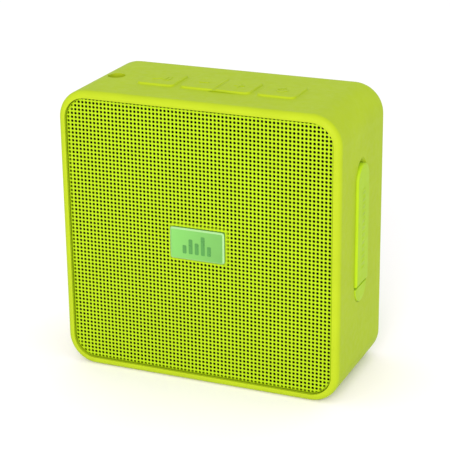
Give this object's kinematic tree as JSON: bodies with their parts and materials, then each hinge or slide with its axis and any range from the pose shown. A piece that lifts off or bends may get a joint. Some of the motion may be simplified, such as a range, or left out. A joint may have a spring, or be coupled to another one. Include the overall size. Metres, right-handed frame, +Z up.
{
  "type": "portable loudspeaker",
  "caption": "Palm-sized square portable speaker: soft sleeve, perforated metal grille, raised top keys, lanyard tunnel and a hinged port flap.",
  "frame": {"origin": "centre of the flat base on the resting surface, midway between the front rim plane and the back face", "axes": "+X to the speaker's right as seen from the front, the grille faces -Y, +Z up"},
  "size_m": [0.0888, 0.041, 0.0878],
  "materials": {
    "sleeve_rubber": "soft-touch lime silicone, fine matte",
    "key_rubber": "soft-touch lime silicone, fine matte",
    "flap_rubber": "lime silicone, satin",
    "lime_plastic": "moulded lime ABS, fine matte",
    "dark_plastic": "moulded black ABS",
    "grille_metal": "satin lime powder coat on steel",
    "badge_metal": "green satin anodised plate",
    "cloth_black": "black acoustic cloth",
    "seal_foam": "black closed-cell foam",
    "screw_steel": "zinc-plated",
    "black_screw": "black oxide",
    "basket_steel": "black e-coat",
    "motor_steel": "zinc-plated steel",
    "magnet_nickel": "nickel-plated",
    "cone_paper": "pressed paper pulp",
    "cap_paper": "pressed paper pulp",
    "surround_rubber": "thin butyl rubber",
    "spider_cloth": "resin-dipped cotton",
    "coil_copper": "enamelled copper wire",
    "board_green": "solder mask over glass laminate",
    "chip_black": "moulded epoxy",
    "shield_tin": "tin-plated shield",
    "inductor_ferrite": "ferrite",
    "capacitor_aluminium": "bare can",
    "connector_nylon": "natural nylon",
    "cell_wrap": "heat-shrink sleeve",
    "lead_insulation": "PVC insulation",
    "ribbon_film": "polyester film",
    "switch_metal": "switch can",
    "plunger_plastic": "nylon",
    "socket_steel": "nickel-plated shell",
    "led_lens": "clear epoxy",
    "terminal_fibre": "phenolic board with tinned tags"
  },
  "bodies": {
    "speaker": {"outer_sleeve": "sleeve_rubber", "inner_housing": "lime_plastic", "lanyard_anchor": "lime_plastic", "rear_cover": "lime_plastic", "rear_cover_seal": "seal_foam", "rear_cover_screws": "black_screw", "front_baffle": "lime_plastic", "baffle_seal": "seal_foam", "baffle_screws": "screw_steel", "front_grille": "grille_metal", "grille_cloth": "cloth_black", "badge_plate": "badge_metal", "driver_basket": "basket_steel", "driver_gasket": "seal_foam", "driver_yoke": "motor_steel", "driver_magnet": "magnet_nickel", "driver_top_plate": "motor_steel", "driver_surround": "surround_rubber", "driver_spider": "spider_cloth", "driver_terminals": "terminal_fibre", "driver_screws": "screw_steel", "main_board": "board_green", "main_board_screws": "screw_steel", "bluetooth_module": "shield_tin", "amplifier_chip": "chip_black", "charger_chip": "chip_black", "board_capacitors": "capacitor_aluminium", "power_inductors": "inductor_ferrite", "board_connectors": "connector_nylon", "battery_cradle": "dark_plastic", "battery_cell": "cell_wrap", "battery_leads": "lead_insulation", "speaker_leads": "lead_insulation", "button_board": "board_green", "button_board_screws": "screw_steel", "button_ribbon": "ribbon_film", "port_board": "board_green", "port_board_screws": "screw_steel", "usb_socket": "socket_steel", "aux_jack": "dark_plastic", "charge_led": "led_lens", "port_ribbon": "ribbon_film", "flap_anchor": "flap_rubber", "flap_hinge_web": "flap_rubber", "play_switch": "switch_metal", "volume_down_switch": "switch_metal", "volume_up_switch": "switch_metal", "power_switch": "switch_metal"},
    "diaphragm": {"driver_cone": "cone_paper", "driver_dust_cap": "cap_paper", "driver_voice_coil": "coil_copper"},
    "flap": {"port_flap": "flap_rubber"},
    "play_button": {"play_key": "key_rubber", "play_plunger": "plunger_plastic"},
    "volume_down_button": {"volume_down_key": "key_rubber", "volume_down_plunger": "plunger_plastic"},
    "volume_up_button": {"volume_up_key": "key_rubber", "volume_up_plunger": "plunger_plastic"},
    "power_button": {"power_key": "key_rubber", "power_plunger": "plunger_plastic"}
  },
  "joints": [
    {"name": "play_press", "type": "slide", "parent": "speaker", "child": "play_button", "axis": [0, 0, -1], "range_m": [0, 0.0004], "stiffness_N_per_m": 1500},
    {"name": "volume_down_press", "type": "slide", "parent": "speaker", "child": "volume_down_button", "axis": [0, 0, -1], "range_m": [0, 0.0004], "stiffness_N_per_m": 1500},
    {"name": "volume_up_press", "type": "slide", "parent": "speaker", "child": "volume_up_button", "axis": [0, 0, -1], "range_m": [0, 0.0004], "stiffness_N_per_m": 1500},
    {"name": "power_press", "type": "slide", "parent": "speaker", "child": "power_button", "axis": [0, 0, -1], "range_m": [0, 0.0004], "stiffness_N_per_m": 1500},
    {"name": "diaphragm_stroke", "type": "slide", "parent": "speaker", "child": "diaphragm", "axis": [0, 1, 0], "range_m": [-0.001, 0.001], "stiffness_N_per_m": 1500, "deforming": ["driver_surround", "driver_spider"]},
    {"name": "flap_hinge", "type": "hinge", "parent": "speaker", "child": "flap", "pos_m": [0.0443, -0.002, 0.0316], "axis": [0, 1, 0], "range_deg": [0, 120], "stiffness_Nm_per_rad": 0.002, "deforming": ["flap_hinge_web"]}
  ]
}
